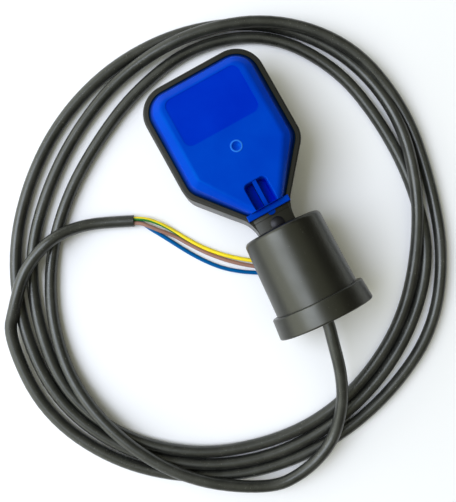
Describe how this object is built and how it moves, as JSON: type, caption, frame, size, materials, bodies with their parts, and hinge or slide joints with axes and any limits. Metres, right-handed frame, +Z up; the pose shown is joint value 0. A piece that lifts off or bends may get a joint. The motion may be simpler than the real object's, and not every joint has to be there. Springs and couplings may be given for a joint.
{
  "type": "float level switch",
  "caption": "Tilting float switch on a coiled lead, with a sliding counterweight, for sensing liquid level in a tank or sump.",
  "frame": {"origin": "centre of the footprint of the float and its counterweight, on the surface they rest on", "axes": "+Y along the float towards its wide end, +Z up, +X to the right seen from above with the wide end up"},
  "size_m": [0.3124, 0.3026, 0.0626],
  "materials": {
    "housing_black": "satin moulded polypropylene, fine spark texture",
    "cover_blue": "moulded blue plastic, soft gloss",
    "seal_rubber": "soft black rubber",
    "plug_black": "glossy black plastic",
    "weight_black": "satin black moulded shell",
    "cable_rubber": "dark grey rubber sheath, matt",
    "screw_steel": "zinc plated steel",
    "ball_steel": "polished steel ball",
    "lever_steel": "stainless spring steel",
    "terminal_brass": "bare brass",
    "carrier_plastic": "natural moulded plastic",
    "switch_case": "dark thermoset",
    "plunger_red": "moulded plastic pin",
    "slug_iron": "rough cast iron",
    "core_brown": "brown core insulation",
    "core_blue": "blue core insulation",
    "core_yellow_green": "yellow core insulation with a green stripe"
  },
  "bodies": {
    "float": {"housing_body": "housing_black", "cover": "cover_blue", "cover_seal": "seal_rubber", "neck_plug": "plug_black", "cable_gland": "seal_rubber", "cable_clamp": "housing_black", "clamp_screws": "screw_steel", "switch_carrier": "carrier_plastic", "carrier_screws": "screw_steel", "cage_cover": "carrier_plastic", "microswitch_body": "switch_case", "switch_screws": "screw_steel", "lever_pin": "lever_steel", "terminal_yellow_green": "terminal_brass", "terminal_brown": "terminal_brass", "terminal_blue": "terminal_brass", "inner_core_yellow_green": "core_yellow_green", "inner_core_brown": "core_brown", "inner_core_blue": "core_blue", "cable_inner": "cable_rubber", "cable_lead": "cable_rubber", "cable_coil": "cable_rubber", "cable_tail": "cable_rubber", "core_yellow_green": "core_yellow_green", "core_brown": "core_brown", "core_blue": "core_blue"},
    "ball": {"steel_ball": "ball_steel"},
    "lever": {"switch_lever": "lever_steel"},
    "plunger": {"switch_plunger": "plunger_red"},
    "weight": {"weight_jacket": "weight_black", "weight_slug": "slug_iron", "weight_cap": "weight_black", "cable_grip": "carrier_plastic"}
  },
  "joints": [
    {"name": "weight_slide", "type": "slide", "parent": "float", "child": "weight", "axis": [0, -0.9981, 0.0622], "range_m": [0, 0.02]},
    {"name": "ball_roll", "type": "slide", "parent": "float", "child": "ball", "axis": [0, -0.9981, 0.0622], "range_m": [0, 0.0242]},
    {"name": "plunger_travel", "type": "slide", "parent": "float", "child": "plunger", "axis": [0, 0.9981, -0.0622], "range_m": [-0.00094, 0], "stiffness_N_per_m": 150, "springref_m": 0.0018},
    {"name": "lever_press", "type": "hinge", "parent": "float", "child": "lever", "pos_m": [-0.012, 0.03797, 0.02366], "axis": [0, 0.0622, 0.9981], "range_deg": [-4.5, 0]}
  ],
  "couplings": [
    {"joint": "lever_press", "follows": "plunger_travel", "rad_per_m": 83.333}
  ]
}
